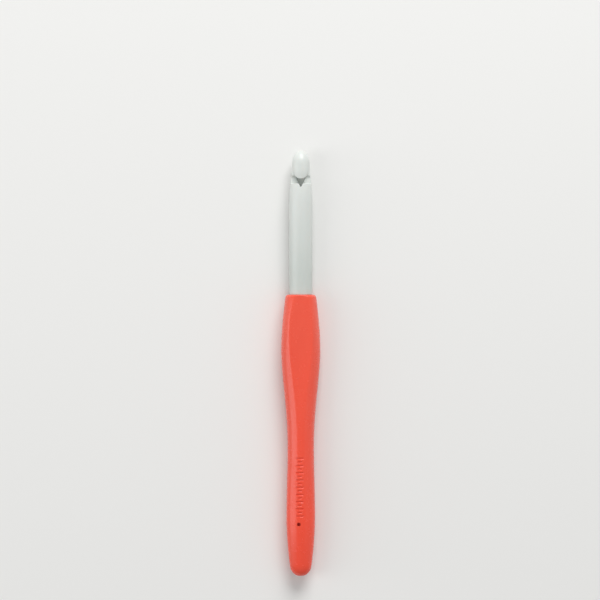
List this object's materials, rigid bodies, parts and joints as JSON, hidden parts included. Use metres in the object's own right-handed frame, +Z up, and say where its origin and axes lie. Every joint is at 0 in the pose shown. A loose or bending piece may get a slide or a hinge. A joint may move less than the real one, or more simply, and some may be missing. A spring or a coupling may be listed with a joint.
{
  "type": "crochet hook",
  "caption": "Crochet hook with a thick round plastic shank, a rounded egg-shaped head whose lip overhangs a short steep throat, and a soft contoured grip with a flattened thumb rest.",
  "frame": {"origin": "under the middle of the hook's length, on the plane of the grip's flat back, which the hook rests on", "axes": "+X along the shank towards the tip, +Z up, out of the throat's open side, +Y to the left when looking towards the tip"},
  "size_m": [0.165, 0.015, 0.0113],
  "materials": {
    "hook_plastic": "light cool grey ABS, moulded with a soft gloss",
    "core_plastic": "coral ABS, darker than the grip, hidden inside it",
    "grip_rubber": "coral thermoplastic elastomer, satin with a fine moulded bloom"
  },
  "bodies": {
    "root": {"hook_shaft": "hook_plastic", "handle_core": "core_plastic", "grip": "grip_rubber"}
  },
  "joints": []
}
